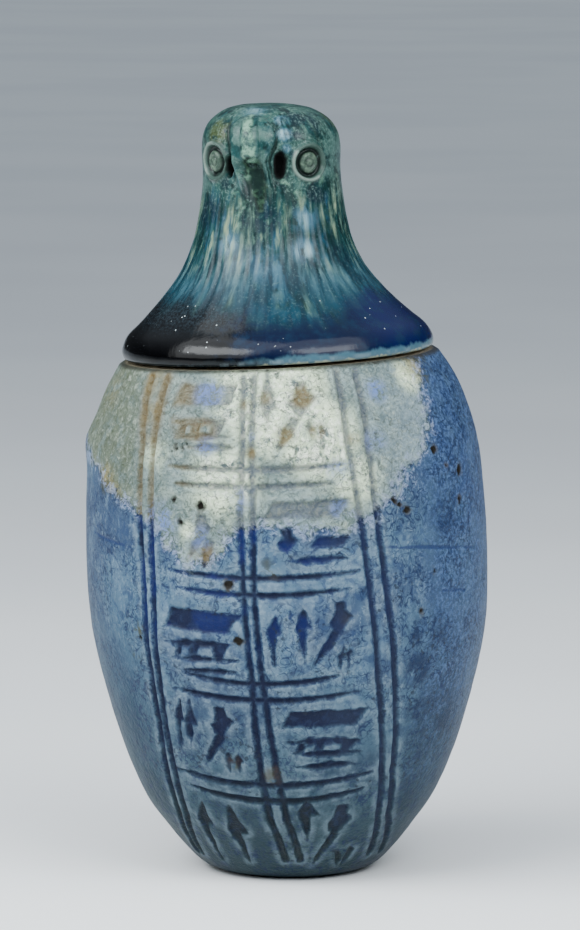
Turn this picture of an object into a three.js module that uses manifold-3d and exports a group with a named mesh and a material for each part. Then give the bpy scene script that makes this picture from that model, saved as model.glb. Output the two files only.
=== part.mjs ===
// Falcon-headed canopic jar in glazed faience: a hollow egg-shaped jar, and a hollow bell-shaped lid
// that carries a falcon's head and rests loose on the jar's rim.
// Millimetres, +Z up. The origin is the middle of the foot, and the falcon and the panel face -Y.
import * as THREE from "three";
import { mergeVertices } from "three/addons/utils/BufferGeometryUtils.js";
import Module from "manifold-3d";

const wasm = await Module();
wasm.setup();

const DEGREE = Math.PI / 180;

// ---- driving dimensions ----
const SEAT_HEIGHT = 168; // the flat rim that carries the lid, at the jar's axis
const BELLY_RADIUS = 65.3;
const FOOT_RADIUS = 22; // the flat the jar stands on
const WALL = 7.5;
const FLOOR = 10;
const MOUTH_RADIUS = 37;
const RIM_RADIUS = 52; // outer edge of the flat rim
const SEAT_TILT = 2.8 * DEGREE; // the rim was cut out of level: the +X side is higher
const TILT_POWER = 3; // the tilt fades away below the shoulder
const AXIS_LEAN = -3.7; // sideways drift of the hand-built wall between foot and rim
const LEAN_POWER = 2.5; // the drift gathers towards the shoulder

const LID_HEIGHT = 81.7; // crown above the seat
const BRIM_RADIUS = 50.2;
const HEAD_RADIUS = 22.3;
const NECK_SWAY = 0.8; // the neck bends in a slight S off the lid's axis
const SWAY_WAVES = 0.9; // of a full wave between the seat and the crown
const CROWN_DROP = 0.05; // the crown slopes down towards +X
const CROWN_POWER = 6; // the slope gathers at the very top
const LID_GAP = 0.3; // play between the lid and the jar at the seat
const FLANGE_RADIUS = 35.2; // ring under the lid that drops into the mouth
const FLANGE_WALL = 5;
const FLANGE_DEPTH = 8;
const CAVITY_TOP = 58; // the lid is hollow up to here, and the head above is solid

// The face was shaped by hand, so its two sides differ. Bearings are from the front, towards +X, and
// heights are above the seat.
const EYES = [[-43.5 * DEGREE, 64.2], [44 * DEGREE, 63]]; // bearing, height
const EYE_RADIUS = 5; // middle of the raised ring round the eye
const EYE_RING = 1.1; // half thickness of that ring
const PUPIL_RADIUS = 3;
// the pits on either side of the beak, as [bearing, height, width, length]
const HOLLOWS = [[-26 * DEGREE, 62.9, 4.6, 9], [18.2 * DEGREE, 62.2, 5.6, 10.4]];
const BEAK_BEARING = -5.5 * DEGREE;
const BEAK_HEIGHT = 70.4; // middle of the beak
const BEAK_LENGTH = 17;
const BEAK_WIDTH = 13;
const BEAK_REACH = 3.6; // how far the beak stands out of the face
const BEAK_HOOK = 12 * DEGREE; // its tip turns in by this much
const BEAK_ROOT = 3.2; // how deep its middle lies under its reach
const THROAT_BEARING = -3 * DEGREE;
const THROAT_WIDTH = 10.4;
const THROAT_LENGTH = 26;

const JAR_TURNS = 54; // facets round the jar
const LID_TURNS = 46;

// ---- outlines, as [radius, height] ----
const JAR_OUTSIDE = [
  [28, 1.7], [33.6, 6.6], [40.8, 15.5], [47.3, 25], [53.9, 40.2], [60, 60], [64.1, 80],
  [BELLY_RADIUS, 100], [64.9, 120], [63.5, 137], [60.8, 149], [56.8, 159.5],
];
const JAR_INSIDE = [
  [24, FLOOR + 3], [39.5, 29], [48.6, 46], [55.2, 70], [57.6, 100], [57, 122], [54, 141],
  [46, 155], [MOUTH_RADIUS + 2, 161.5],
];
const LID_OUTSIDE = [
  [BRIM_RADIUS, 1.2], [BRIM_RADIUS, 4.5], [48.2, 8.4], [43.6, 12.6], [35.8, 20.4], [30, 28],
  [26.2, 36], [24.1, 44], [22.9, 52], [HEAD_RADIUS, 60], [22.4, 67.5], [21.6, 72.3], [18.9, 76.6],
  [13.7, 79.9], [7, 81.4],
];
const LID_CAVITY = [
  [FLANGE_RADIUS - FLANGE_WALL, 3], [30, 12], [23.6, 21], [18.4, 30], [15.6, 40], [13.6, 49],
  [9.2, 55.5],
];

const at = (r, z) => new THREE.Vector2(r, z);

// A smooth run through the given points, each stretch between two of them cut into steps.
function smooth(points, steps) {
  const curve = new THREE.SplineCurve(points.map(([r, z]) => at(r, z)));
  return curve.getPoints((points.length - 1) * steps);
}

// Turns an outline about the Z axis.
function turned(outline, turns) {
  return new THREE.LatheGeometry(outline, turns).rotateX(Math.PI / 2);
}

// A closed geometry as a manifold solid, for cutting and joining.
function solid(geometry) {
  const bare = new THREE.BufferGeometry();
  bare.setAttribute("position", geometry.getAttribute("position"));
  bare.setIndex(geometry.index);
  const merged = mergeVertices(bare, 1e-4);
  return new wasm.Manifold(
    new wasm.Mesh({
      numProp: 3,
      vertProperties: merged.getAttribute("position").array,
      triVerts: new Uint32Array(merged.index.array),
    }),
  );
}

// A manifold solid as a named mesh with its glaze.
function piece(name, made, material) {
  const { vertProperties, triVerts } = made.getMesh();
  const geometry = new THREE.BufferGeometry();
  geometry.setAttribute("position", new THREE.BufferAttribute(vertProperties, 3));
  geometry.setIndex(new THREE.BufferAttribute(triVerts, 1));
  geometry.computeVertexNormals();
  const mesh = new THREE.Mesh(geometry, material);
  mesh.name = name;
  return mesh;
}

// ---- the jar ----

// The hand-built unevenness: the axis drifts sideways, the rim tilts while the foot stays level,
// and one side of the shoulder swells a little.
const SWELLING = { bearing: -169 * DEGREE, height: 143, amount: 1.5, tall: 6.5, wide: 24 * DEGREE };

function unevenness(geometry) {
  const position = geometry.getAttribute("position");
  for (let i = 0; i < position.count; i++) {
    let [x, y, z] = [position.getX(i), position.getY(i), position.getZ(i)];
    const share = Math.max(0, z / SEAT_HEIGHT);
    const radius = Math.hypot(x, y);
    if (radius > BELLY_RADIUS - WALL + 1) {
      let turn = Math.atan2(y, x) - SWELLING.bearing;
      turn = Math.atan2(Math.sin(turn), Math.cos(turn));
      const swell = SWELLING.amount
        * Math.exp(-((turn / SWELLING.wide) ** 2) - ((z - SWELLING.height) / SWELLING.tall) ** 2);
      x += (x / radius) * swell;
      y += (y / radius) * swell;
    }
    z += x * Math.tan(SEAT_TILT) * share ** TILT_POWER;
    x += AXIS_LEAN * share ** LEAN_POWER;
    position.setXYZ(i, x, y, z);
  }
  return geometry;
}

function jar(material) {
  const outline = [
    at(0, 0),
    ...smooth([[FOOT_RADIUS, 0], ...JAR_OUTSIDE, [RIM_RADIUS, SEAT_HEIGHT - 0.8]], 2),
    at(RIM_RADIUS - 1.2, SEAT_HEIGHT),
    at(MOUTH_RADIUS, SEAT_HEIGHT),
    ...smooth([...JAR_INSIDE].reverse(), 1),
    at(0, FLOOR),
  ];
  return piece("jar_body", solid(unevenness(turned(outline, JAR_TURNS))), material);
}

// ---- the lid ----

// A point on the head: its bearing from the beak, its height, and its distance from the axis.
function onHead(bearing, height, radius) {
  return new THREE.Vector3(radius * Math.sin(bearing), -radius * Math.cos(bearing), height);
}

// Moves a geometry made along +Z so that its Z points out of the head at that bearing and height.
function facingOut(geometry, bearing, height, radius) {
  const turn = new THREE.Quaternion().setFromUnitVectors(
    new THREE.Vector3(0, 0, 1),
    onHead(bearing, 0, 1),
  );
  return geometry.applyQuaternion(turn).translate(...onHead(bearing, height, radius));
}

function ball(width, depth, height, turns = 20) {
  return new THREE.SphereGeometry(1, turns, turns / 2).scale(width / 2, depth / 2, height / 2);
}

function bell() {
  const outline = [
    at(0, CAVITY_TOP),
    ...smooth([...LID_CAVITY].reverse(), 1),
    at(FLANGE_RADIUS - FLANGE_WALL, -FLANGE_DEPTH),
    at(FLANGE_RADIUS, -FLANGE_DEPTH),
    at(FLANGE_RADIUS, LID_GAP),
    at(BRIM_RADIUS - 0.8, LID_GAP),
    ...smooth(LID_OUTSIDE, 2),
    at(0, LID_HEIGHT),
  ];
  return solid(turned(outline, LID_TURNS));
}

// The hooked beak hangs from the crown over a narrower throat.
function beak() {
  const hook = ball(BEAK_WIDTH, 2 * (BEAK_REACH + BEAK_ROOT), BEAK_LENGTH)
    .rotateX(-BEAK_HOOK)
    .translate(...onHead(0, BEAK_HEIGHT, HEAD_RADIUS - BEAK_ROOT))
    .rotateZ(BEAK_BEARING);
  const throat = ball(THROAT_WIDTH, 8, THROAT_LENGTH)
    .translate(...onHead(THROAT_BEARING, BEAK_HEIGHT - 10, HEAD_RADIUS - 2));
  return solid(hook).add(solid(throat));
}

function eye(bearing, height) {
  const ring = new THREE.TorusGeometry(EYE_RADIUS, EYE_RING, 6, 24);
  const pupil = ball(2 * PUPIL_RADIUS, 2 * PUPIL_RADIUS, 3, 16);
  return solid(facingOut(ring, bearing, height, HEAD_RADIUS - 0.1))
    .add(solid(facingOut(pupil, bearing, height, HEAD_RADIUS - 0.4)));
}

// A pit beside the beak, to cut out of the head.
function hollow(bearing, height, width, length) {
  return solid(ball(width, width, length, 16).translate(...onHead(bearing, height, HEAD_RADIUS)));
}

// The hand-shaped lid: its neck sways off the axis, and its crown slopes.
function sway(mesh) {
  const position = mesh.geometry.getAttribute("position");
  for (let i = 0; i < position.count; i++) {
    const [x, z] = [position.getX(i), position.getZ(i)];
    const share = Math.max(0, z / LID_HEIGHT);
    position.setX(i, x - NECK_SWAY * Math.sin(2 * Math.PI * SWAY_WAVES * share));
    position.setZ(i, z - x * CROWN_DROP * share ** CROWN_POWER);
  }
  return mesh;
}

function lid(material) {
  let head = bell();
  for (const pit of HOLLOWS) head = head.subtract(hollow(...pit));
  head = head.add(beak());
  for (const place of EYES) head = head.add(eye(...place));
  return sway(piece("falcon_head_lid", head, material));
}

// ---- glazes and assembly ----

const paleBlueFaience = new THREE.MeshStandardMaterial({
  color: 0x8798a6,
  roughness: 0.6,
  metalness: 0,
});
const greenBlueGlaze = new THREE.MeshStandardMaterial({
  color: 0x3f6a72,
  roughness: 0.2,
  metalness: 0,
});

// The lid sits square on the tilted rim.
const lidOnSeat = new THREE.Group();
lidOnSeat.position.set(AXIS_LEAN, 0, SEAT_HEIGHT);
lidOnSeat.rotation.y = -SEAT_TILT;
lidOnSeat.add(lid(greenBlueGlaze));

const canopicJar = new THREE.Group();
canopicJar.add(jar(paleBlueFaience), lidOnSeat);

export default canopicJar;
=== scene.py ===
"""A falcon-headed canopic jar in glazed faience: an egg-shaped jar with a framed panel of shallow strokes,
and a loose bell-shaped lid that carries a falcon's head.

Both pieces are skins turned about the Z axis, and then given what the hand did to them: an uneven
wall, incised lines, a hooked beak, worn places and pits. Lengths are in millimetres until a mesh is
finished. Bearings are in degrees from the front, which is -Y, and grow towards +X.
"""

import math

import bmesh
import bpy
import numpy as np
from mathutils import Matrix, Vector, noise


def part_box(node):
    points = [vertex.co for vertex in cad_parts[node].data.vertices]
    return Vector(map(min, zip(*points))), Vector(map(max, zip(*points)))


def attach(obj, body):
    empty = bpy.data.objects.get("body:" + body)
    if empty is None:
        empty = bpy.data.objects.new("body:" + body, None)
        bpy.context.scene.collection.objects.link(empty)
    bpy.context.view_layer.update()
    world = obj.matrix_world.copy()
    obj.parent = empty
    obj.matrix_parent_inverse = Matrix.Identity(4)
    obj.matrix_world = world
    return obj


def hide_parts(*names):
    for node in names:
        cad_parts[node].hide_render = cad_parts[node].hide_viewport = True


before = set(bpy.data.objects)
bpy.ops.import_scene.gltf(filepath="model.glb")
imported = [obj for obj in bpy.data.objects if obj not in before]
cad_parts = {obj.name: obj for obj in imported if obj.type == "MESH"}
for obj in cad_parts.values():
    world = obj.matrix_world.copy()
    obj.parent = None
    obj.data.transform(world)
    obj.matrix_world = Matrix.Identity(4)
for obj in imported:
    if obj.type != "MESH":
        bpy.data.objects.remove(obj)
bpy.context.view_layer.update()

MM = 0.001
FAR = 99.0  # further than any stroke reaches

# ---- driving measures, from the frame ----
jar_low, jar_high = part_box("jar_body")
lid_low, lid_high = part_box("falcon_head_lid")
BELLY = (jar_high.y - jar_low.y) / 2 / MM
BRIM = (lid_high.y - lid_low.y) / 2 / MM
RIM = 52.0  # outer edge of the jar's flat rim
TILT = math.radians(2.8)  # the rim is out of level, higher on the +X side
SEAT = jar_high.z / MM - (RIM - 1.2) * math.tan(TILT)  # the rim's height at the axis
CROWN = 81.7  # the top of the head above the seat
LEAN = -3.7  # sideways drift of the jar's axis on its way up
LEAN_POWER = 2.5  # the drift gathers towards the shoulder
TILT_POWER = 3  # the tilt fades away below the shoulder
NECK_SWAY = 0.8  # the neck bends in a slight S off the lid's axis
SWAY_WAVES = 0.9  # of a full wave between the seat and the crown
CROWN_DROP = 0.05  # the crown slopes down towards +X
CROWN_POWER = 6  # the slope gathers at the very top
FOOT = 22.0  # the flat that the jar stands on
WALL = 7.5
FLOOR = 10.0
MOUTH = 37.0
FLANGE = 35.2  # ring under the lid, inside the mouth
FLANGE_WALL = 5.0
FLANGE_DEPTH = 8.0
CAVITY_TOP = 58.0
LID_GAP = 0.3  # play between the lid and the jar at the seat
SLIT = 1.1  # the brim's edge stands clear of the rim by this much, and shows a dark line
JAR_TURNS = 190  # points round the jar and round the lid
LID_TURNS = 250

# ---- outlines, as (radius, height) ----
JAR_OUTSIDE = [
    (FOOT, 0), (28, 1.7), (33.6, 6.6), (40.8, 15.5), (47.3, 25), (53.9, 40.2), (60, 60), (64.1, 80),
    (BELLY, 100), (64.9, 120), (63.5, 137), (60.8, 149), (56.8, 159.5), (RIM, SEAT - 0.8),
]
JAR_INSIDE = [
    (MOUTH, SEAT), (MOUTH + 2, 161.5), (46, 155), (54, 141), (57, 122), (57.6, 100), (55.2, 70),
    (48.6, 46), (39.5, 29), (24, FLOOR + 3), (0, FLOOR),
]
LID_OUTSIDE = [
    (BRIM - 0.6, SLIT), (BRIM, SLIT + 0.7), (BRIM, 4.5), (48.2, 8.4), (43.6, 12.6), (35.8, 20.4), (30, 28),
    (26.2, 36), (24.1, 44), (22.9, 52), (22.3, 60), (22.4, 67.5), (21.6, 72.3), (18.9, 76.6),
    (13.7, 79.9), (7, 81.4), (0, CROWN),
]
LID_INSIDE = [
    (0, CAVITY_TOP), (9.2, 55.5), (13.6, 49), (15.6, 40), (18.4, 30), (23.6, 21), (30, 12),
    (FLANGE - FLANGE_WALL, 3), (FLANGE - FLANGE_WALL, -FLANGE_DEPTH),
]


# ---- camera ----
def add_camera():
    """A long lens, a little above the jar and to the right of the beak, looking slightly down."""
    bearing, distance, height = math.radians(11), 1.75, 0.3427
    data = bpy.data.cameras.new("view")
    data.lens = 209.67
    data.sensor_width = 36
    camera = bpy.data.objects.new("view", data)
    bpy.context.scene.collection.objects.link(camera)
    camera.location = (distance * math.sin(bearing), -distance * math.cos(bearing), height)
    aim = Vector((0, 0, 0.13193)) - camera.location
    camera.rotation_euler = aim.to_track_quat("-Z", "Y").to_euler()
    bpy.context.scene.camera = camera


add_camera()


# ---- turned skins ----
def smooth(points, spacing):
    """A smooth run through the points (a uniform Catmull-Rom curve), with a point every spacing mm."""
    padded = [points[0], *points, points[-1]]
    run = [Vector(points[0])]
    for before, start, end, after in zip(padded, padded[1:], padded[2:], padded[3:]):
        p0, p1, p2, p3 = map(Vector, (before, start, end, after))
        steps = max(2, round((p2 - p1).length / spacing))
        for step in range(1, steps + 1):
            t = step / steps
            run.append(
                0.5 * (2 * p1 + (p2 - p0) * t + (2 * p0 - 5 * p1 + 4 * p2 - p3) * t**2
                       + (3 * p1 - p0 - 3 * p2 + p3) * t**3)
            )
    return run


def straight(points, spacing):
    """The points joined by straight runs, with a point every spacing mm."""
    run = [Vector(points[0])]
    for start, end in zip(map(Vector, points), map(Vector, points[1:])):
        steps = max(1, round((end - start).length / spacing))
        run += [start.lerp(end, step / steps) for step in range(1, steps + 1)]
    return run


def turned(outline, turns):
    """A closed skin: an outline that starts and ends on the axis, spun once round it."""
    bm = bmesh.new()
    dots = [bm.verts.new((0, -radius, height)) for radius, height in outline]
    joins = [bm.edges.new(pair) for pair in zip(dots, dots[1:])]
    bmesh.ops.spin(
        bm, geom=dots + joins, cent=(0, 0, 0), axis=(0, 0, 1), angle=math.tau, steps=turns, use_merge=True
    )
    bmesh.ops.remove_doubles(bm, verts=bm.verts, dist=0.001)
    bmesh.ops.recalc_face_normals(bm, faces=bm.faces)
    return bm


class Skin:
    """The points of a skin with their bearing, height and radius, and which of them are on the outside."""

    def __init__(self, points, outside):
        self.points = points
        self.height = points[:, 2]
        self.radius = np.hypot(points[:, 0], points[:, 1])
        self.bearing = np.degrees(np.arctan2(points[:, 0], -points[:, 1]))
        heights = np.array([height for _, height in outside])
        radii = np.array([radius for radius, _ in outside])
        self.true_radius = np.interp(self.height, heights, radii)
        slope = np.interp(self.height, (heights[1:] + heights[:-1]) / 2, np.diff(radii) / np.diff(heights))
        self.stretch = np.sqrt(1 + slope**2)  # length along the wall for each mm of height
        self.outside = self.radius > self.true_radius - 2

    def offsets(self, bearing, height):
        """How far each point is from a place, round the wall and up along it, in mm."""
        turn = (self.bearing - bearing + 180) % 360 - 180
        return np.radians(turn) * self.true_radius, (self.height - height) * self.stretch

    def spot(self, bearing, height, radius):
        """1 at a place, fading to 0 at that radius."""
        across, along = self.offsets(bearing, height)
        return fade(1 - np.hypot(across, along) / radius)

    def ripple(self, size, octaves=1, seed=0.0):
        """A soft noise from -1 to 1, with lumps of that size in mm."""
        shift = Vector((seed, seed, seed))
        return np.array([
            noise.fractal(Vector(point) / size + shift, 1.0, 2.0, octaves) for point in self.points
        ])


def fade(t):
    """Rises smoothly from 0 to 1 as t goes from 0 to 1."""
    t = np.clip(t, 0, 1)
    return t * t * (3 - 2 * t)


def between(value, low, high):
    """Rises smoothly from 0 at low to 1 at high."""
    return fade((value - low) / (high - low))


def run_edge(skin, run):
    """How far each point is from a run's edge, in mm, and below zero inside it. A run is a list of
    (bearing, height, half width)."""
    edge = np.full(len(skin.height), FAR)
    for (b0, h0, w0), (b1, h1, w1) in zip(run, run[1:]):
        x0, y0 = skin.offsets(b0, h0)
        dx = math.radians(b1 - b0) * skin.true_radius
        dy = (h1 - h0) * skin.stretch
        along = np.clip((x0 * dx + y0 * dy) / (dx**2 + dy**2 + 1e-9), 0, 1)
        edge = np.minimum(edge, np.hypot(x0 - along * dx, y0 - along * dy) - (w0 + (w1 - w0) * along))
    return edge


def area_edge(skin, outline):
    """How far each point is from the edge of an outline of (bearing, height), in mm, and below zero
    inside it."""
    ring = [(bearing, height, 0) for bearing, height in [*outline, outline[0]]]
    inside = np.zeros(len(skin.height), bool)
    for (b0, h0, _), (b1, h1, _) in zip(ring, ring[1:]):
        crossed = (h0 > skin.height) != (h1 > skin.height)
        where = b0 + (skin.height - h0) * (b1 - b0) / (h1 - h0 + 1e-9)
        inside ^= crossed & (skin.bearing < where)
    return run_edge(skin, ring) * np.where(inside, -1, 1)


def nearest(skin, measure, shapes):
    """The smallest of a measure over many shapes."""
    return np.minimum.reduce([measure(skin, shape) for shape in shapes])


def spots(skin, places):
    """The strongest of many soft spots at each point. A place is (bearing, height, radius, strength)."""
    return np.maximum.reduce([
        strength * skin.spot(bearing, height, radius) for bearing, height, radius, strength in places
    ])


def refine(bm, outside, wanted, cuts):
    """Cuts the faces finer where wanted(skin) is true at both ends of an edge."""
    skin = Skin(np.array([vert.co for vert in bm.verts]), outside)
    chosen = wanted(skin) & skin.outside
    bm.verts.index_update()
    edges = [edge for edge in bm.edges if all(chosen[vert.index] for vert in edge.verts)]
    bmesh.ops.subdivide_edges(bm, edges=edges, cuts=cuts, use_grid_fill=True)


def finished(name, bm, material, node):
    """The bmesh as a smoothly shaded piece that stands for a CAD node."""
    mesh = bpy.data.meshes.new(name)
    bm.to_mesh(mesh)
    bm.free()
    mesh.materials.append(material)
    mesh.polygons.foreach_set("use_smooth", [True] * len(mesh.polygons))
    piece = bpy.data.objects.new(name, mesh)
    bpy.context.scene.collection.objects.link(piece)
    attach(piece, "root")
    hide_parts(node)


def outside_points(bm, outside, below):
    """Puts the points of the outside wall exactly on its round, and gives the skin back."""
    skin = Skin(np.array([vert.co for vert in bm.verts]), outside)
    for vert, radius, true, height, out in zip(
        bm.verts, skin.radius, skin.true_radius, skin.height, skin.outside
    ):
        if out and height < below:
            vert.co.x *= true / radius
            vert.co.y *= true / radius
    bm.normal_update()
    return Skin(np.array([vert.co for vert in bm.verts]), outside)


def shape(bm, skin, lift, place):
    """Lifts each point along its normal, and then puts it in its place in the frame, in metres."""
    normals = np.array([vert.normal for vert in bm.verts])
    points = place(skin.points + normals * (lift * skin.outside)[:, None])
    for vert, point in zip(bm.verts, points):
        vert.co = point * MM


def store(bm, **values):
    """Keeps values on the points, for the materials to read."""
    for name, value in values.items():
        if value.ndim == 1:
            layer = bm.verts.layers.float.new(name)
            value = value.tolist()
        else:
            layer = bm.verts.layers.float_vector.new(name)
            value = [Vector(entry) for entry in value]
        for vert, entry in zip(bm.verts, value):
            vert[layer] = entry


# ---- the jar's panel ----
# Double rules part the panel into five rows: the upper and lower rule of each pair.
PITCH = 34.2  # height of a row
RULES_TOP = 137.8
RULE_GAP = 5.4
RULE_ENDS = [
    ((-24, 30), (-22, 25)), ((-23.5, 31.5), (-21.5, 29)), ((-20.5, 25.5), (-25.5, 32.5)),
    ((-31.5, 40.5), (-27, 38.5)),
]
LINE = 1.05  # half width of an incised line

# The frame's upright lines and the double line down the middle: the bearing at each of these heights.
HEIGHTS = [166, 145, 124, 98, 71, 54, 39, 23, 8]
UPRIGHTS = [
    [-39, -34.9, -34.5, -33, -33.4, -34.4, -37, -39.4, -48.5],
    [-31, -30.4, -30.1, -29.4, -30.3, -31.8, -32.9, -34.9, -44],
    [-1.2, -0.6, -1.5, -1.1, 0.2, 0.5, 1.2, 3.3, 8.7],
    [2.6, 2.0, 2.0, 1.9, 3.2, 4.9, 6.8, 9.8, 16.5],
    [31, 30.5, 32.4, 34.8, 38, 41.2, 44.4, 48.8, 58.2],
    [38, 36.8, 37.4, 39.9, 43.6, 46.5, 48.9, 54.3, 68.5],
]


def rule(ends, height, sag):
    """A level line that sags between its ends and thins out towards them."""
    low, high = ends
    steps = 8
    run = []
    for step in range(steps + 1):
        t = 2 * step / steps - 1
        run.append((low + (high - low) * step / steps, height + sag * t * t, LINE * (1 - 0.75 * t**4)))
    return run


def panel_lines():
    lines = [[(bearing, height, LINE) for bearing, height in zip(line, HEIGHTS)] for line in UPRIGHTS]
    for row, (upper, lower) in enumerate(RULE_ENDS):
        height, sag = RULES_TOP - PITCH * row, 0.8 + row
        lines += [rule(upper, height, sag), rule(lower, height - RULE_GAP, sag)]
    return lines


def bar(left, right, height, thickness, rise=0.0, lean=1.5):
    """A broad bar, its ends cut on the slant, that rises a little to one side."""
    half = thickness / 2
    return [
        (left, height - half), (left + lean, height + half),
        (right + lean / 2, height + half + rise), (right - lean, height - half + rise),
    ]


def dash(left, right, height, thickness=1.9, rise=0.0):
    """A thin stroke, pointed at both ends and fullest to one side of its middle."""
    low, high = left + 0.35 * (right - left), left + 0.7 * (right - left)
    return [
        (left, height), (low, height + thickness * 0.55), (high, height + thickness * 0.5 + rise),
        (right, height + rise), (high, height - thickness * 0.45 + rise), (low, height - thickness * 0.5),
    ]


def dart(bearing, top, barb, bottom, width, slant=0.0):
    """A pressed wedge: a point, one barb that juts out, and a long tapering tail."""
    return [
        (bearing, top), (bearing + 0.5 * width + slant * 0.6, barb),
        (bearing + 0.12 * width + slant * 0.5, barb + 0.1), (bearing + slant, bottom),
        (bearing - 0.4 * width + slant * 0.4, barb + 0.3), (bearing - 0.46 * width + slant * 0.4, barb + 1.2),
    ]


def blot(bearing, top, bottom, width, slant=0.0):
    """A broad stroke: a narrow head over a wider body that juts to either side."""
    fall = top - bottom
    return [
        (bearing - 0.26 * width, top), (bearing + 0.2 * width, top),
        (bearing + 0.26 * width, top - 0.28 * fall), (bearing + 0.52 * width, top - 0.44 * fall),
        (bearing + 0.2 * width, bottom + 0.26 * fall), (bearing + slant, bottom),
        (bearing - 0.36 * width, bottom + 0.2 * fall), (bearing - 0.5 * width, bottom + 0.42 * fall),
        (bearing - 0.24 * width, top - 0.36 * fall),
    ]


def slash(start, end, width):
    """A slanting stroke, broad at its start and drawn out to a point."""
    (b0, h0), (b1, h1) = start, end
    return [
        (b0 - width / 2, h0 + 0.6), (b0 + width / 2, h0 - 0.4),
        (b0 * 0.45 + b1 * 0.55 + width * 0.45, h0 * 0.45 + h1 * 0.55), (b1, h1),
        (b0 * 0.5 + b1 * 0.5 - width * 0.5, h0 * 0.5 + h1 * 0.5),
    ]


def barred(left, right, height, drop):
    """A dash with three short strokes hanging from it, and a second dash where they end."""
    span = right - left
    hanging = []
    for share, wide, deep in ((0.17, 2.6, 0.9), (0.38, 3.4, 0.75), (0.72, 4.4, 0.95)):
        start, end = left + span * share, height - drop * deep
        hanging.append([
            (start, height), (start + wide, height), (start + 0.6 * wide, end), (start - 0.4, end),
        ])
    return [dash(left, right, height, 2.4), *hanging, dash(left + 0.1 * span, right + 1, height - drop, 2.0)]


def panel_marks():
    """Five rows of shallow strokes, none of them a letter, left and right of the middle line."""
    return [
        # first row
        bar(-24.5, -3.5, 161.3, 6.4, -0.4), *barred(-24.5, -5, 152.6, 4.6), dash(-17.5, -3, 144.7, 2.6),
        dart(7, 168, 156.6, 151, 5.6), blot(18, 164, 153.2, 8.5, -1), slash((15.5, 153.5), (9.5, 143), 3.2),
        dart(19.5, 152.8, 149, 144, 2.6, 1), dart(23.2, 152, 147.6, 143.6, 2.6),
        # second row
        blot(-13, 123.5, 114.5, 5.5), slash((-14, 116), (-17.8, 108), 2.4),
        slash((-10.5, 115.5), (-12.5, 106.8), 3), bar(5, 28.5, 125, 5.6, 0.2, 2.8),
        blot(11.5, 119, 111.5, 6), bar(18, 28.5, 115, 3.6, -0.4, 2.2), dash(11.5, 29, 109, 2.2, 0.6),
        # third row
        bar(-26.5, -3.6, 90.2, 6.6, -1.6, 3.2), *barred(-26.4, -4.5, 82, 5), dash(-23.4, -3, 73.1, 1.9),
        dart(7.7, 92.8, 85.2, 74.6, 4.8, -0.6), dart(15.5, 94.4, 87.2, 76.2, 5.6, 0.3),
        blot(11.8, 93.6, 91, 1.2), blot(26, 95.8, 85.2, 6.2), slash((24.8, 86), (17.6, 74.6), 2.6),
        dart(27, 81.8, 77, 74.6, 2.8, -1), dart(29, 81, 78.4, 73.8, 3.4, -0.4),
        # fourth row
        dart(-24, 63, 55.6, 46, 4, -3), dart(-20.3, 63, 54.6, 46.4, 5.4, -2.4),
        blot(-10.4, 61.2, 50.8, 7.4, -0.4), slash((-11, 51.4), (-18.6, 41.2), 3),
        dart(-9.4, 46, 42.6, 39.4, 3.4), dart(-6, 46, 43, 40, 3.2), bar(8.6, 34.4, 57.6, 5.6, 0.7, 2.4),
        *barred(9.6, 35.4, 50.2, 4), dash(12.4, 35, 41.8, 2.2, 0.6),
        # fifth row
        dart(-24.4, 28, 19.8, 6, 7.6, -4.4), dart(-13, 27.8, 17.6, 6.6, 9, 2),
        dart(17, 30.4, 24.6, 15, 8.6, 2), blot(31.4, 28, 17, 10, -1), slash((31, 17.6), (23.2, 5.8), 3.4),
        slash((36, 10.4), (38.6, 5.2), 3), slash((43, 11.2), (41, 5), 3),
    ]


LINES, MARKS = panel_lines(), panel_marks()

# Hair cracks round the shoulder, and a nick beside the frame, as (bearing, height, half width).
CRACKS = [
    [(40, 112.1, 0.12), (56, 110.5, 0.3), (77, 107.8, 0.1)], [(60, 96.4, 0.1), (72, 94.9, 0.25)],
    [(-47, 165, 0.1), (-42, 165.6, 0.3)], [(-46, 161.6, 0.2), (-42.6, 161.4, 0.4)],
    [(-60, 113.5, 0.1), (-46, 112, 0.3), (-38, 111.6, 0.1)],
]

# Open pits in the faience, as (bearing, height, radius).
PITS = [
    (60.9, 140, 1.3), (65.5, 134.9, 0.7), (72.9, 132.7, 1.7), (71, 123, 1.2), (43.5, 126.4, 0.9),
    (45.4, 124.6, 0.7), (47.7, 122.9, 1.2), (52.1, 90.7, 0.9), (57.3, 103.1, 0.8), (-13.3, 126.3, 1.5),
    (-22, 128, 0.7), (-20, 120.8, 0.8), (-5.5, 101.5, 1.3), (-3, 83.4, 1.5), (-35.9, 82.2, 0.7),
    (95, 60, 1.2), (140, 110, 1.5), (-150, 80, 1.4), (-110, 140, 1.3),
    (178, 45, 1.2), (-96, 96, 1.0), (118, 133, 1.3),
]
PITS += [
    (bearing, height, 0.4)
    for bearing, height in ((-22, 145.8), (-20, 145.9), (-18.3, 145.6), (-21.8, 144.1), (-19.7, 144.3))
]

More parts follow.
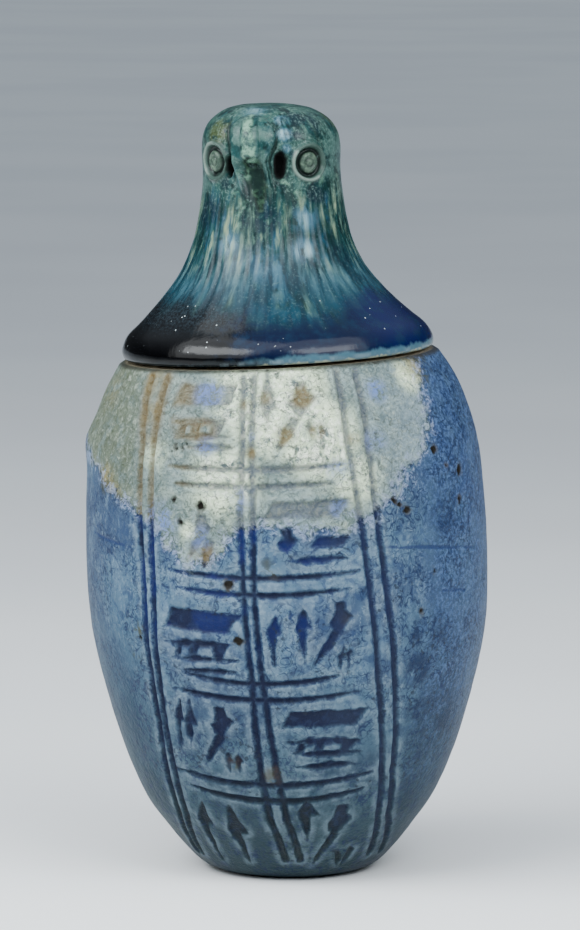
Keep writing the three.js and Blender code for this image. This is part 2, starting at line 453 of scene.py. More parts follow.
# What shows on the jar, as soft spots: (bearing, height, radius, strength).
CLOUDS = [  # where the blue is darker
    (51, 84, 9, 0.8), (52, 72, 10, 1), (54, 58, 9, 0.9), (60, 82, 18, 0.5), (62, 120, 14, 0.6),
    (50, 122, 8, 0.5), (-56, 55, 26, 1), (-52, 32, 20, 1), (-42, 14, 16, 0.8), (66, 52, 26, 0.7),
    (58, 24, 20, 0.7), (30, 30, 12, 0.5), (-30, 20, 16, 0.6), (4, 12, 18, 0.4), (14, 112, 11, 0.6),
    (20, 24, 12, 0.4), (-10, 22, 12, 0.5), (-42, 122, 4, 0.9), (120, 90, 40, 0.7), (-140, 60, 38, 0.6),
    (175, 120, 30, 0.5),
]
STAINS = [  # brown and olive
    (5.5, 38.6, 6, 1), (-52, 132, 9, 0.9), (-46, 128, 6, 0.8), (5.5, 108, 5, 0.6), (-37, 165, 9, 0.8),
    (-34, 155, 7, 0.8), (-33, 146, 5, 0.6), (-62, 160, 14, 0.4), (7.6, 105, 4, 1), (-36, 85, 4, 0.9),
    (-38, 76, 5, 0.8), (18, 160, 7, 1), (12, 148, 6, 0.9), (22, 149, 5, 0.9), (6, 160, 5, 0.6),
    (-14, 150, 11, 0.65), (2, 143, 4, 0.8), (0, 158, 4, 0.6), (33, 146, 4, 0.8), (-12, 110, 8, 0.7),
    (66, 166, 14, 0.8), (-8, 43, 5, 0.8), (28, 90, 5, 0.5), (150, 70, 20, 0.5),
]
BRIGHT_GROUND_AND_LIGHT = [  # the palest of the bare ground, and a painted pool of light on the top of the shoulder
    (8, 160, 27, 1), (22, 147, 21, 0.9), (-17, 118, 5, 0.6), (59, 163, 9, 0.6), (-6, 135, 19, 0.7),
    (-30, 142, 9, 0.4), (32, 134, 14, 0.6),
]
ISLANDS = [  # blue left on the bare ground
    (44, 160, 8, 1), (-13, 161.5, 9, 1), (40, 145, 8, 0.75), (-26, 121, 12, 0.9), (-12, 144.5, 7, 0.8),
    (27, 137, 9, 0.7), (27, 125, 6, 1), (14, 119, 8, 0.6), (-2, 128, 8, 0.7), (14, 116, 12, 0.8),
    (-14, 116, 8, 0.7), (2, 148, 4, 0.5),
]

# Where the blue has worn off to a cream ground, from the rim down over the front of the shoulder.
BARE_PATCH = [
    (-118, 175), (-112, 160), (-96, 148), (-78, 143), (-66, 138), (-56, 134), (-47, 128), (-39, 124.5),
    (-31, 121), (-24, 114), (-17, 107), (-9, 110), (-3, 117), (4, 121), (13, 118.5), (26, 117.5),
    (35, 121.5), (40, 127), (47, 131), (50, 138), (57.5, 141), (60.5, 150), (64.5, 162), (69, 175),
]

# The swelling on one side of the shoulder, its turn counted from +X.
SWELLING = {"turn": math.radians(-169), "height": 143, "amount": 1.5, "tall": 6.5, "wide": math.radians(24)}


def pit_edge(skin, pit):
    bearing, height, radius = pit
    return np.hypot(*skin.offsets(bearing, height)) - radius


def near_relief(skin):
    """Which points lie at a line or mark of the panel, a pit or a crack."""
    edges = [
        nearest(skin, run_edge, LINES), nearest(skin, area_edge, MARKS), nearest(skin, pit_edge, PITS),
        nearest(skin, run_edge, CRACKS),
    ]
    return np.minimum.reduce(edges) < 1.7


def jar_in_place(points):
    """The jar's axis drifts, its rim is out of level, and one side of the shoulder swells."""
    x, y, z = points.T
    share = np.clip(z / SEAT, 0, None)
    radius = np.hypot(x, y)
    turn = np.arctan2(y, x) - SWELLING["turn"]
    turn = np.arctan2(np.sin(turn), np.cos(turn))
    swell = np.exp(-((turn / SWELLING["wide"]) ** 2) - ((z - SWELLING["height"]) / SWELLING["tall"]) ** 2)
    swell = np.where(radius > BELLY - WALL + 1, SWELLING["amount"] * swell, 0) / np.maximum(radius, 1)
    x, y = x * (1 + swell), y * (1 + swell)
    return np.column_stack([
        x + LEAN * share**LEAN_POWER, y, z + x * math.tan(TILT) * share**TILT_POWER,
    ])


def make_jar(material):
    outside = smooth(JAR_OUTSIDE, 2.2)
    inside = smooth(JAR_INSIDE, 6.0)
    rim = straight([(RIM - 1.2, SEAT), (MOUTH, SEAT)], 5.0)
    foot = straight([(0, 0), (FOOT, 0)], 4.0)
    bm = turned([*foot[:-1], *outside, *rim[:-1], *inside], JAR_TURNS)
    refine(bm, outside, near_relief, 3)
    skin = outside_points(bm, outside, SEAT - 3)

    wander = skin.ripple(3.6, 3, 11.1)
    strokes = np.minimum(
        nearest(skin, run_edge, LINES) + 0.2 * wander, nearest(skin, area_edge, MARKS) + 0.5 * wander,
    )
    pits = nearest(skin, pit_edge, PITS) + 0.8 * skin.ripple(1.6, 2, 2.2)
    cracks = nearest(skin, run_edge, CRACKS)
    patch = -area_edge(skin, BARE_PATCH)
    bare = between(patch, -1, 2)
    lift = 0.3 * skin.ripple(34, 2) + 0.09 * skin.ripple(6, 3, 7.3) * (1 + bare) - 0.25 * bare
    lift -= 0.95 * between(-strokes, -0.3, 0.7)
    lift += 0.14 * between(-strokes, -1.7, -0.7) * (1 - between(-strokes, -0.6, 0))  # a burr beside them
    lift -= 0.9 * between(-pits, -0.4, 0.6)
    lift -= 0.25 * between(-cracks, -0.4, 0.1)
    lift *= 1 - 0.9 * between(skin.height, SEAT - 4, SEAT - 1)  # the rim stays flat, and so does the foot
    lift *= between(skin.height, 0.2, 3)

    cobalt = between(skin.bearing, 44, 66) * (1 - between(skin.bearing, 150, 179))  # the bluer side
    shape(bm, skin, lift, jar_in_place)
    store(
        bm, stroke=strokes, pit=pits, crack=cracks, patch=patch, cobalt=cobalt, cloud=spots(skin, CLOUDS),
        stain=spots(skin, STAINS), island=spots(skin, ISLANDS), bright=spots(skin, BRIGHT_GROUND_AND_LIGHT), up=skin.height,
        outside=skin.outside.astype(float),
    )
    finished("glazed_jar", bm, material, "jar_body")


# ---- the lid and the falcon's head ----
EYES = [(-43.5, 64.2), (44.0, 63.0)]
# The pits beside the beak, as (bearing, height, half width, half height).
HOLLOWS = [(-26, 62.9, 1.5, 3.6), (18.2, 62.4, 2.6, 4.7)]
FLUTES = 60  # soft folds round the neck
FLOW_RISE = 110  # a pattern on the flow is drawn as long up this many mm as round one radian

# A pale streak down the beak, partly thin glaze and partly a painted highlight, and the shade under it, as
# (bearing, height, half width).
PALE_AND_HIGHLIT_RIDGE = [(-7.5, 77.5, 0.5), (-5.8, 73, 1.0), (-5, 68, 1.3), (-5.2, 65.6, 1.5)]
THROAT = [(-5.2, 62.8, 3.0), (-1.6, 58, 2.9), (1.5, 53, 2.0), (2, 49, 1.0)]

# How high the dark pool reaches up the bell, as (bearing, height).
POOL_TOP = [
    (-180, 17), (-75, 19), (-40, 20), (-8, 18.5), (4, 14.5), (30, 14), (48, 17), (64, 19.5), (180, 17),
]

# What shows on the lid, as soft spots: (bearing, height, radius, strength).
DEEP = [  # thick and dark
    (38.6, 77.3, 7, 0.9), (52, 75.7, 7, 0.9), (50, 53, 7, 1), (6, 45, 8, 1), (-9, 45, 5, 0.5),
    (-50, 48, 9, 0.9), (63, 33, 7, 0.8), (0, 38, 4, 0.6), (-31, 57, 4, 0.7), (-30, 75, 3, 0.7),
    (-46, 72, 4, 0.6), (30, 66, 3, 0.7), (-2, 57, 5.5, 0.9), (-4, 61, 4, 1), (34, 72, 3, 0.8),
    (-36, 68, 3, 0.7),
]
GREY = [  # dull grey green
    (-16, 72, 5, 0.9), (4, 73, 4.5, 0.9), (62, 62, 8, 0.9), (80, 68, 14, 0.7), (-10, 80, 9, 0.5),
    (-60, 60, 10, 0.6), (130, 66, 14, 0.6), (-130, 60, 16, 0.6),
]
LIGHT = [  # thin and pale
    (-22, 53, 6, 0.8), (-17, 47, 8, 0.7), (-13, 60, 4, 0.8), (-11, 54, 5, 0.8), (21, 76, 5, 0.9),
    (34, 73, 5, 0.9), (52, 58, 5, 0.7), (22, 57, 6, 0.9), (36, 57, 7, 1), (30, 52, 6, 0.8),
    (-30, 38, 7, 0.5),
]
OLIVE = [(-40, 74, 8, 1), (100, 76, 10, 0.7), (-150, 72, 12, 0.7), (5, 55, 4, 0.5)]
MILKY_AND_REFLECTED = [  # milky blue: partly the glaze's own haze, partly painted reflections of the sky on the crown and of the lamps as glints on the neck
    (38, 45, 9, 0.8), (34, 35, 8, 1), (-22, 38, 8, 0.8), (8, 30, 9, 0.6), (-14, 33, 8, 0.5),
    (-100, 40, 14, 0.6), (150, 44, 12, 0.6), (-8, 80, 7, 0.8), (24, 77, 4.5, 1), (23.5, 72.5, 4.5, 1),
    (24, 68, 3, 0.8),
]


def beak_lift(skin):
    """A broad arch over the beak that parts into two folds down the throat, the hooked beak on it, and
    a hollow between the folds."""
    height = skin.height
    middle = np.interp(height, [51, 54, 58, 64, 70, 76], [0, -1.5, -4, -7.5, -5.5, -5.5])
    half = np.interp(height, [51, 54, 58, 64, 68, 72, 76], [4.6, 5.0, 5.4, 5.6, 7.2, 8.0, 7.8])
    across, _ = skin.offsets(middle, EYES[1][1])
    arch = np.clip(1 - (across / half) ** 2 - (np.clip(height - 71, 0, None) / 7.6) ** 2, 0, 1)
    arch = 2.2 * np.sqrt(arch) * between(height, 60, 66)
    folds = 1.5 * np.exp(-(((np.abs(across) - 0.9 * half) / 0.9) ** 2)) * between(height, 49, 55)
    folds *= 1 - between(height, 63, 68)
    valley = -0.8 * np.exp(-(((np.abs(across) - half - 0.6) / 0.8) ** 2))
    valley *= between(height, 54, 60) * (1 - between(height, 75, 79))
    hollow = -0.9 * between(-np.abs(across), -0.85 * half, -0.3 * half)
    hollow *= between(height, 49, 58) * (1 - between(height, 62.6, 65))

    ridge, _ = skin.offsets(np.interp(height, [64, 70, 77], [-4.8, -5.2, -6.2]), EYES[1][1])
    width = np.interp(height, [65, 72, 78], [3.2, 2.9, 2.3])
    hook = 1 - (ridge / width) ** 2 - (np.clip(67.6 - height, 0, None) / 3.3) ** 2
    hook = 1.9 * np.sqrt(np.clip(hook, 0, 1)) * (1 - between(height, 72, 79.5))
    return arch + folds + valley + hollow + hook


def brow_lift(skin):
    """A low lobe between the beak and the right eye, and a soft brow over each eye."""
    over_eyes = [(bearing, height + 8.5, 7, 0.5) for bearing, height in EYES]
    return spots(skin, [(24, 73, 5, 0.9), (-27, 75, 4, 0.4), *over_eyes])


def eye_reach(skin, eye):
    return np.hypot(*skin.offsets(*eye))


def eye_lift(reach):
    """A raised ring, a groove, and a domed disc with a small ring pressed into it."""
    ring = 1.1 * np.exp(-(((reach - 5.7) / 0.75) ** 2))
    groove = -1.0 * np.exp(-(((reach - 4.2) / 0.75) ** 2))
    disc = 0.5 * between(-reach, -3.6, -2.4)
    inner = -0.45 * np.exp(-(((reach - 1.5) / 0.4) ** 2))
    return ring + groove + disc + inner


def hollow_share(skin, hollow):
    """How far each point is from a pit's middle, as a share of its size: above 1 is outside."""
    bearing, height, half_width, half_height = hollow
    across, along = skin.offsets(bearing, height)
    share = np.hypot((across - 0.1 * along) / half_width, along / half_height)
    return share + 0.2 * skin.ripple(3, 2, 8.0)


def flute_lift(skin):
    """Soft folds down the neck, as the maker's tool left them, fading out at the brim and the head."""
    turn = np.radians(skin.bearing) * FLUTES + 4 * skin.ripple(22, 1, 3.1)
    strength = between(skin.height, 15, 24) * (1 - between(skin.height, 46, 58))
    return 0.2 * strength * np.sin(turn) * (0.5 + np.abs(skin.ripple(9, 1, 5.0)))


def lid_in_place(points):
    """The neck sways, the crown slopes, and the lid sits square on the jar's tilted rim."""
    x, y, z = points.T
    share = np.clip(z / CROWN, 0, None)
    swayed_z = z - x * CROWN_DROP * share**CROWN_POWER
    swayed_x = x - NECK_SWAY * np.sin(math.tau * SWAY_WAVES * share)
    seat = Matrix.Translation((LEAN, 0, SEAT)) @ Matrix.Rotation(-TILT, 4, "Y")
    turn = np.array(seat.to_3x3())
    return np.column_stack([swayed_x, y, swayed_z]) @ turn.T + np.array(seat.translation)


def near_face(skin):
    """Which points lie on the front of the head."""
    return (np.abs(skin.bearing) < 62) & (skin.height > 48.5) & (skin.height < 80.5)


def make_lid(material):
    outside = smooth(LID_OUTSIDE, 0.75)
    inside = smooth(LID_INSIDE[:-1], 4.0)
    ring = straight([
        LID_INSIDE[-1], (FLANGE, -FLANGE_DEPTH), (FLANGE, LID_GAP), (BRIM - 8, LID_GAP), (BRIM - 6, SLIT),
        (BRIM - 2, SLIT),
    ], 4.0)
    bm = turned([*inside, *ring, *outside], LID_TURNS)
    refine(bm, outside, near_face, 2)
    skin = outside_points(bm, outside, 76)

    eyes = nearest(skin, eye_reach, EYES)
    hollows = nearest(skin, hollow_share, HOLLOWS)
    face = between(skin.height, 50, 56)
    lift = 0.22 * skin.ripple(24, 2, 1.7) + 0.07 * skin.ripple(5, 2, 4.2)
    raised = beak_lift(skin) + brow_lift(skin) + face * eye_lift(eyes)
    lift += raised + flute_lift(skin)
    lift -= 4.2 * between(-hollows, -1.2, -0.4)
    lift *= between(skin.height, SLIT, 3.5)

    turn = np.radians(skin.bearing)
    flow = np.column_stack([np.sin(turn), -np.cos(turn), skin.height / FLOW_RISE])
    light = spots(skin, LIGHT) * between(skin.ripple(4, 3, 6.0), -0.15, 0.45)
    # the pale streak down the beak: thin glaze, and a painted highlight along its ridge
    light = np.maximum(light, between(-run_edge(skin, PALE_AND_HIGHLIT_RIDGE), -1.7, 0.7))
    throat = between(-run_edge(skin, THROAT), -1.4, 1.2)
    pooled = np.interp(skin.bearing, *zip(*POOL_TOP)) - skin.height
    rightward = np.minimum(skin.bearing, 4 * (180 - skin.bearing) - 180)  # falls to -180 behind the lid
    strip = skin.height + 1.4 * (1 - between(rightward, -25, 20))  # the bare edge thins to the left
    shape(bm, skin, lift, lid_in_place)
    store(
        bm, strip=strip, flow=flow, up=skin.height, rightward=rightward, eye=eyes, hollow=hollows,
        deep=spots(skin, DEEP), grey=spots(skin, GREY), light=light, olive=spots(skin, OLIVE),
        hazy=spots(skin, MILKY_AND_REFLECTED), throat=throat, pooled=pooled, raised=raised,
        outside=skin.outside.astype(float),
    )
    finished("glazed_lid", bm, material, "falcon_head_lid")


# ---- materials ----
def ink(hex_colour):
    """An sRGB hex colour as linear red, green, blue and 1."""
    channels = [int(hex_colour[i:i + 2], 16) / 255 for i in (0, 2, 4)]
    return [c / 12.92 if c <= 0.04045 else ((c + 0.055) / 1.055) ** 2.4 for c in channels] + [1.0]


def lumps(size):
    """The scale of a texture whose lumps are that many millimetres across."""
    return 1 / (size * MM)


def add(tree, kind, inputs=None, **settings):
    """Adds a node, sets its properties, and fills its inputs with values, hex colours or links."""
    made = tree.nodes.new("ShaderNode" + kind)
    for name, value in settings.items():
        setattr(made, name, value)
    for key, value in (inputs or {}).items():
        if isinstance(value, bpy.types.NodeSocket):
            tree.links.new(value, made.inputs[key])
        else:
            made.inputs[key].default_value = ink(value) if isinstance(value, str) else value
    return made


def coats(tree, k, ground, layers):
    """Lays colours over the ground, one after another. A layer is a colour, its strength, and the ramps
    that keep it to its place. A ramp is (name, low, high): the colour shows where that value in k has
    risen from low to high, and where low is the greater it shows where the value has fallen."""
    for colour, strength, *ramps in layers:
        cover = strength
        for name, low, high in ramps:
            risen = add(
                tree, "MapRange", {"Value": k[name], "From Min": low, "From Max": high},
                interpolation_type="SMOOTHSTEP",
            ).outputs["Result"]
            cover = add(tree, "Math", {0: cover, 1: risen}, operation="MULTIPLY").outputs[0]
        ground = add(tree, "Mix", {0: cover, 6: ground, 7: colour}, data_type="RGBA").outputs[2]
    return ground


def ragged(tree, k, name, **reaches):
    """A distance kept on the points, with its edge moved in and out by soft noises of the given reach."""
    edge = k[name]
    for noise_name, reach in reaches.items():
        edge = add(tree, "Math", {0: k[noise_name], 1: reach, 2: edge}, operation="MULTIPLY_ADD").outputs[0]
    return add(tree, "Math", {0: edge, 1: sum(reaches.values()) / 2}, operation="SUBTRACT").outputs[0]


def new_material(name):
    material = bpy.data.materials.new(name)
    material.use_nodes = True
    material.node_tree.nodes.clear()
    return material, material.node_tree


def glaze_patterns(tree, vectors, values, patterns):
    """The values kept on the points, and soft noises, each with its vector, scale, detail, roughness and
    distortion."""
    kept = {name: add(tree, "Attribute", attribute_name=name).outputs["Fac"] for name in values}
    for name, (vector, scale, detail, roughness, twist) in patterns.items():
        kept[name] = add(tree, "TexNoise", {
            "Vector": vectors[vector], "Scale": scale, "Detail": detail, "Roughness": roughness,
            "Distortion": twist,
        }).outputs["Fac"]
    return kept


def pale_blue_faience():
    """Egyptian faience, fired once: a sandy quartz body with a thin, satin, self-formed blue glaze.
    The eye sees a mottled grey blue, finely pitted and scratched, deep blue where the glaze lies thick
    in the strokes, and a bare cream ground, rough and flaky, where it has worn away."""
    material, tree = new_material("pale_blue_faience")
    place = add(tree, "TexCoord").outputs["Object"]
    drawn_down = add(tree, "Mapping", {"Vector": place, "Scale": (1, 1, 0.3)}).outputs[0]
    # the curls, the specks and the grit are drawn a little coarser than they are, so that they show
    k = glaze_patterns(
        tree, {"place": place, "down": drawn_down},
        ("stroke", "pit", "crack", "patch", "cobalt", "cloud", "stain", "island", "bright", "up", "outside"),
        {
            "drift": ("place", lumps(26), 3, 0.55, 0), "clump": ("place", lumps(14), 2, 0.5, 0),
            "mottle": ("place", lumps(6), 5, 0.62, 0), "blotch": ("place", lumps(3), 3, 0.55, 0.8),
            "grit": ("place", lumps(1.2), 3, 0.65, 0), "flake": ("place", lumps(2.4), 4, 0.7, 1.2),
            "curl": ("place", lumps(5), 1, 0.5, 1.6), "wear": ("down", lumps(4.5), 4, 0.6, 0),
            "speck": ("place", lumps(1.7), 1, 0.5, 0),
        },
    )
    k["side"] = add(tree, "SeparateXYZ", {0: place}).outputs["X"]
    # a curl is a line where its noise crosses the middle
    curl = add(tree, "Math", {0: k["curl"], 1: 0.5}, operation="SUBTRACT").outputs[0]
    k["curl"] = add(tree, "Math", {0: curl}, operation="ABSOLUTE").outputs[0]
    k["worn"] = ragged(tree, k, "patch", mottle=16, grit=4)  # in mm, above zero on the bare ground
    k["edge"] = ragged(tree, k, "stroke", blotch=1.2)  # in mm, below zero inside a stroke
    bare = ("worn", -1.5, 1.5)

    blue = coats(tree, k, "455d71", [
        ("30415a", 0.9, ("drift", 0.56, 0.42)),  # broad darker drifts
        ("5a7185", 0.5, ("wear", 0.48, 0.66)),  # paler where it ran
        ("253857", 0.65, ("blotch", 0.48, 0.38)),  # small dark blotches
        ("31445f", 0.75, ("cobalt", 0, 1)),  # the bluer right side
        # bluest near the shoulder
        ("1f315c", 0.45, ("cobalt", 0, 1), ("mottle", 0.42, 0.6), ("up", 80, 130)),
        ("788b98", 0.4, ("grit", 0.5, 0.66), ("mottle", 0.42, 0.58), ("cobalt", 1, 0)),  # pale grit
        ("506b96", 0.55, ("cobalt", 0, 1), ("grit", 0.46, 0.62)),  # bluer grit on the right
        ("1b2a44", 0.65, ("grit", 0.47, 0.36), ("clump", 0.34, 0.52)),  # dark grit, in drifts
        ("13213e", 0.9, ("cloud", 0, 0.8), ("mottle", 0.38, 0.54)),  # dark clouds
        ("1e3b50", 0.7, ("side", -0.022, -0.05), ("up", 110, 60)),  # painted shade down the lower left flank
        ("1b2d2f", 0.88, ("up", 90, 4)),  # duller and greener towards the foot: partly the glaze's own colour, partly painted shade where the light falls off downwards
        ("14223f", 0.8, ("curl", 0.05, 0.012), ("clump", 0.36, 0.5)),  # fine curling scratches
        ("3c3e2a", 0.8, ("stain", 0.1, 0.7), ("blotch", 0.52, 0.42)),  # olive stains
        ("203053", 0.8, ("crack", 0.55, 0.1)),  # hair cracks
    ])
    cream = coats(tree, k, "6a7b78", [
        ("86978f", 0.9, ("mottle", 0.44, 0.58)),  # pale mottling
        ("46544f", 0.75, ("flake", 0.47, 0.37)),  # painted shade under the lifted flakes
        ("4f553d", 0.75, ("side", -0.024, -0.048), ("mottle", 0.3, 0.56)),  # olive on the left
        ("7c8f9c", 0.65, ("side", 0.028, 0.05)),  # bluish on the right
        ("a3ad9f", 0.5, ("flake", 0.46, 0.64), ("grit", 0.42, 0.58)),  # pale flakes
        ("d6e8c2", 0.97, ("bright", 0.0, 0.55), ("mottle", 0.34, 0.5)),  # the brightest ground: its own pale cream, and painted light on the top of the shoulder
        ("f4fce6", 0.9, ("bright", 0.2, 0.6), ("flake", 0.48, 0.6)),  # white flakes on it
        ("83794e", 0.75, ("stain", 0.05, 0.8), ("mottle", 0.36, 0.56)),  # buff stains
        # blue left behind
        ("4f6cae", 0.8, ("island", 0.1, 1.0), ("mottle", 0.36, 0.56), ("flake", 0.36, 0.54)),
        ("606a5f", 0.65, ("grit", 0.45, 0.35)),  # grey grit
        ("464b46", 0.7, ("speck", 0.64, 0.71), ("clump", 0.44, 0.56)),  # dark specks
        ("4f574f", 0.55, ("curl", 0.03, 0.008), ("clump", 0.42, 0.54)),  # scratches
    ])
    ground = coats(tree, k, blue, [
        (cream, 1.0, bare),  # where the blue is gone
        # a chalky edge round it
        ("9dabc9", 0.55, ("worn", -3.6, -0.6), ("worn", 3.5, 0.5), ("flake", 0.46, 0.56)),
        # pale burrs beside the strokes: rubbed glaze on their raised lips, and a painted highlight where the
        # lips catch the light
        ("7d909c", 0.32, ("edge", 3.2, 0.8), ("edge", 0.0, 0.6), ("mottle", 0.34, 0.64)),
    ])
    fill = coats(tree, k, "0a112b", [
        ("0b184c", 0.8, ("up", 72, 92), ("clump", 0.4, 0.54)),  # cobalt in the middle rows
        ("121b21", 0.9, ("up", 46, 22)),  # nearly black lower down
        ("1b2237", 0.75, ("side", 0.018, 0.028)),  # greyer on the right
        ("202c48", 0.4, ("blotch", 0.5, 0.66)),  # unevenly filled
        ("302e2c", 0.5, ("stain", 0.1, 0.8)),  # brown where stained
        ("333b3c", 0.8, ("up", 20, 3), ("clump", 0.34, 0.5)),  # worn grey at the foot
    ])
    faded = coats(tree, k, "525964", [
        ("635537", 0.85, ("side", -0.016, -0.024)),  # buff on the left
        ("645234", 0.9, ("stain", 0.1, 0.7)),  # buff where stained
        ("8f907c", 0.3, ("flake", 0.46, 0.62)),  # pale flakes
        ("5f76ad", 0.7, ("island", 0.1, 0.7), ("flake", 0.4, 0.54)),  # blue
    ])
    ground = coats(tree, k, ground, [
        # buff beside the lines on the left
        ("75633c", 0.6, ("edge", 3.0, -0.5), ("side", -0.018, -0.028), ("up", 138, 156), bare),
        (faded, 0.8, ("edge", 0.9, -0.7), ("grit", 0.3, 0.46), bare),  # strokes on the bare ground
        (fill, 0.97, ("edge", 0.7, -0.8), ("worn", 1.5, -1.5)),  # strokes in the blue
        ("1c2330", 0.7, ("speck", 0.6, 0.7), ("clump", 0.46, 0.6), ("worn", 3, 0)),  # dark specks
        ("43342e", 0.6, ("stain", 0.1, 1.0), ("up", 75, 50), ("mottle", 0.4, 0.6)),  # rust low down
        ("4b4438", 0.5, ("pit", 1.1, 0.2), ("mottle", 0.4, 0.55)),  # dirt round the pits
        ("15120d", 1.0, ("pit", 0.45, -0.45)),  # the open pits
        ("2a2720", 0.8, ("up", SEAT - 1.4, SEAT - 0.2)),  # dark grime and painted shade along the rim under the lid's edge
    ])
    ground = coats(tree, k, "b9ab8f", [(ground, 1.0, ("outside", 0, 1))])  # the inside is plain sandy body

    flaky = add(tree, "Math", {0: k["flake"], 1: 2.2, 2: k["mottle"]}, operation="MULTIPLY_ADD").outputs[0]
    relief = coats(tree, k, k["mottle"], [(flaky, 1.0, bare)])
    relief = add(tree, "Math", {0: k["grit"], 1: 0.5, 2: relief}, operation="MULTIPLY_ADD").outputs[0]
    bump = add(tree, "Bump", {"Height": relief, "Strength": 1.0, "Distance": 0.8 * MM})
    dullness = add(tree, "MapRange", {
        "Value": k["worn"], "From Min": -0.6, "From Max": 0.9, "To Min": 0.45, "To Max": 0.75,
    }).outputs["Result"]
    shader = add(tree, "BsdfPrincipled", {
        "Base Color": ground, "Roughness": dullness, "Normal": bump.outputs[0], "IOR": 1.45,
        "Specular IOR Level": 0.15,
    })
    add(tree, "OutputMaterial", {"Surface": shader.outputs["BSDF"]})
    return material


